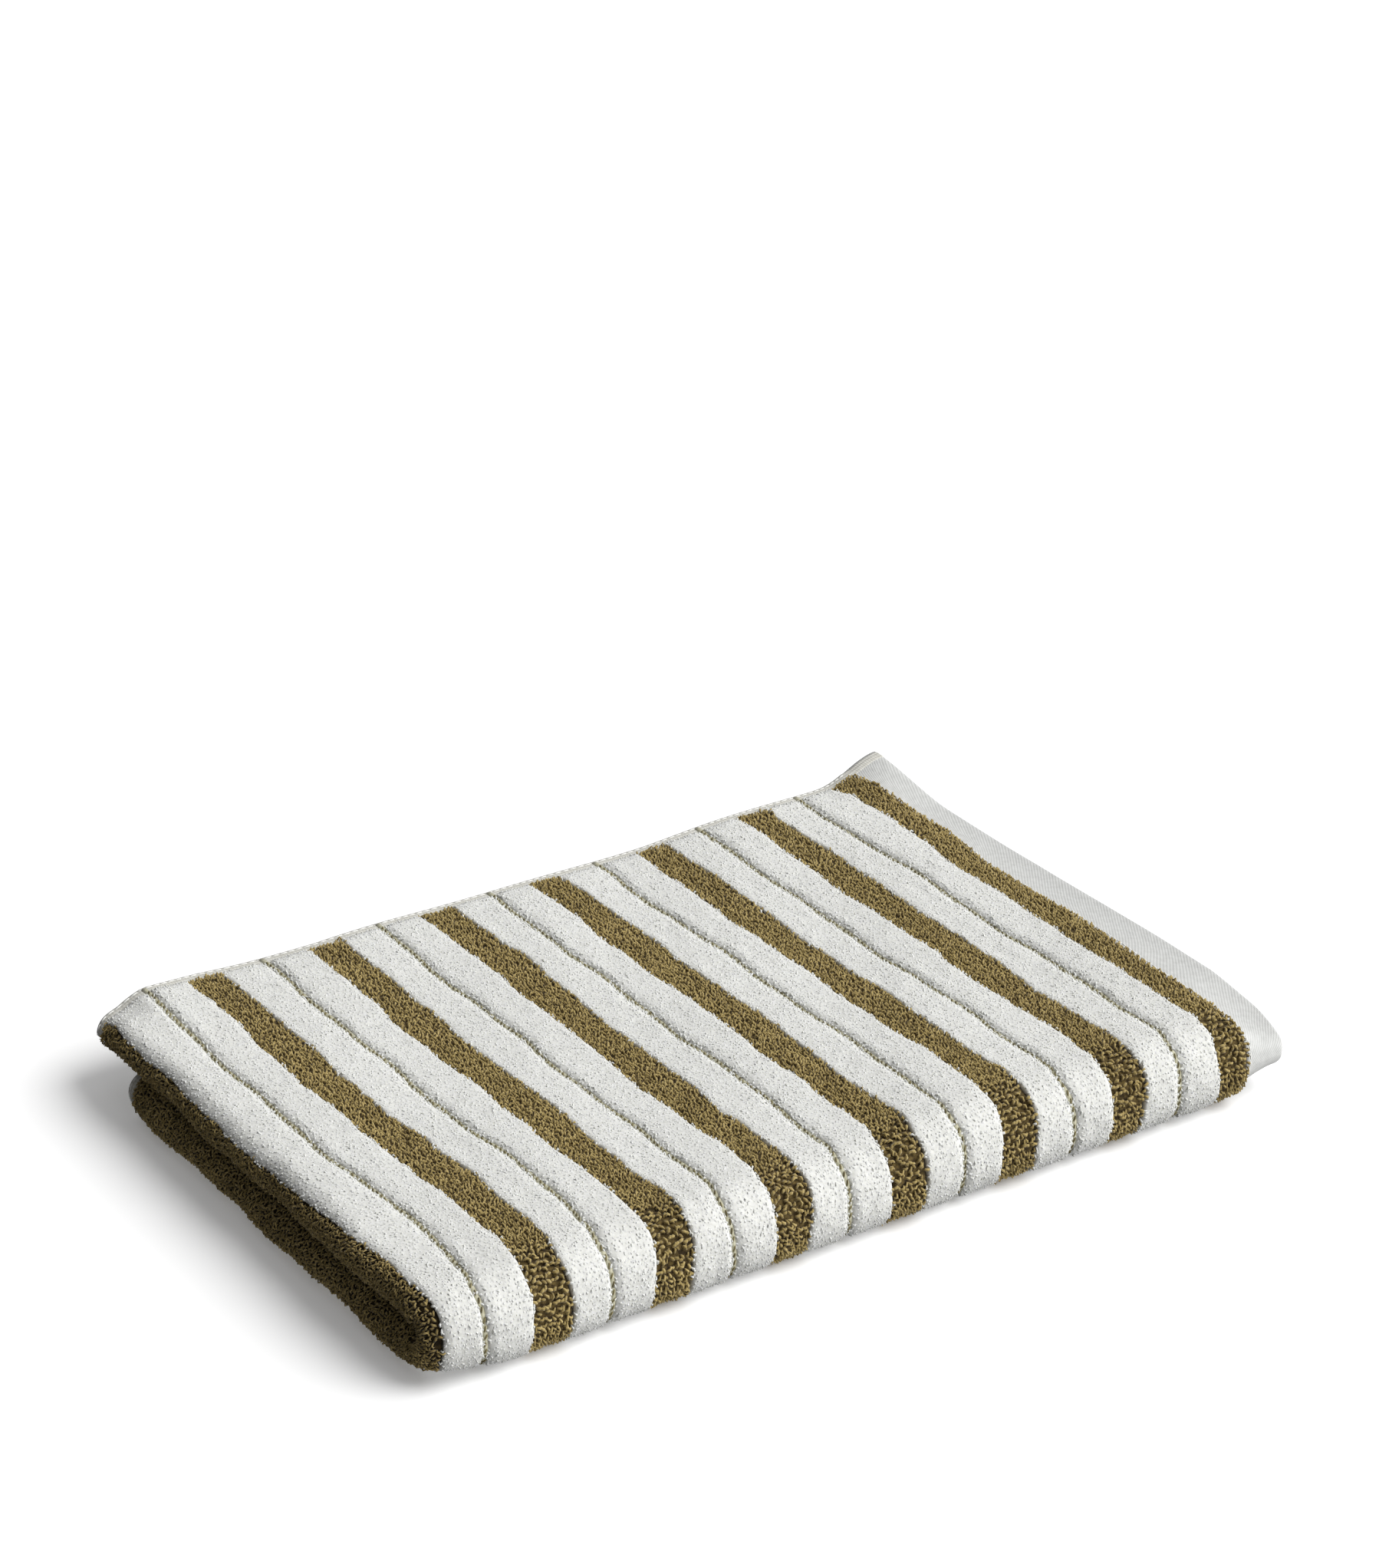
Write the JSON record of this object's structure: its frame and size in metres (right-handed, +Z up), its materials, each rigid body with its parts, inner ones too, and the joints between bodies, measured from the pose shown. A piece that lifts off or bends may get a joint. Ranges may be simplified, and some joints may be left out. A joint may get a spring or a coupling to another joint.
{
  "type": "folded towel",
  "caption": "Rectangular striped terry towel, folded across and then along its length into four plies, opening at its front fold.",
  "frame": {"origin": "under the middle of the folded pack, at the surface it lies on", "axes": "+X along the pack from the rolled end to the hemmed end, +Y from the front fold to the side hems, +Z up"},
  "size_m": [0.348, 0.229, 0.0333],
  "materials": {
    "white_terry": "looped cotton pile, matte",
    "olive_terry": "looped cotton pile, matte",
    "hem_cloth": "flat-woven cotton, fine ribs",
    "sewing_thread": "spun thread",
    "care_label_satin": "woven satin, blank"
  },
  "bodies": {
    "upper_half": {"upper_outer_terry_panel": "white_terry", "upper_outer_end_hem": "hem_cloth", "upper_outer_end_hem_stitching": "sewing_thread", "upper_outer_side_hem": "hem_cloth", "upper_outer_side_hem_stitching": "sewing_thread", "upper_inner_terry_panel": "white_terry", "upper_inner_end_hem": "hem_cloth", "upper_inner_end_hem_stitching": "sewing_thread", "upper_inner_side_hem": "hem_cloth", "upper_inner_side_hem_stitching": "sewing_thread", "upper_end_roll": "olive_terry", "upper_end_roll_side_hem": "hem_cloth"},
    "lower_half": {"lower_outer_terry_panel": "white_terry", "lower_outer_end_hem": "hem_cloth", "lower_outer_end_hem_stitching": "sewing_thread", "lower_outer_side_hem": "hem_cloth", "lower_outer_side_hem_stitching": "sewing_thread", "lower_inner_terry_panel": "white_terry", "lower_inner_end_hem": "hem_cloth", "lower_inner_end_hem_stitching": "sewing_thread", "lower_inner_side_hem": "hem_cloth", "lower_inner_side_hem_stitching": "sewing_thread", "lower_end_roll": "olive_terry", "lower_end_roll_side_hem": "hem_cloth", "outer_front_bend": "white_terry", "inner_front_bend": "white_terry", "end_roll_front_bend": "olive_terry", "outer_end_hem_front_bend": "hem_cloth", "inner_end_hem_front_bend": "hem_cloth", "outer_end_hem_bend_stitching": "sewing_thread", "inner_end_hem_bend_stitching": "sewing_thread", "care_label_stitching": "sewing_thread"},
    "care_label": {"care_label": "care_label_satin"}
  },
  "joints": [
    {"name": "front_fold", "type": "hinge", "parent": "lower_half", "child": "upper_half", "pos_m": [0, -0.09785, 0.01665], "axis": [1, 0, 0], "range_deg": [0, 180], "deforming": ["outer_front_bend", "inner_front_bend", "end_roll_front_bend", "outer_end_hem_front_bend", "inner_end_hem_front_bend", "outer_end_hem_bend_stitching", "inner_end_hem_bend_stitching"]},
    {"name": "care_label_flap", "type": "hinge", "parent": "lower_half", "child": "care_label", "pos_m": [0.105, 0.0985, 0.00405], "axis": [1, 0, 0], "range_deg": [-12, 40]}
  ]
}
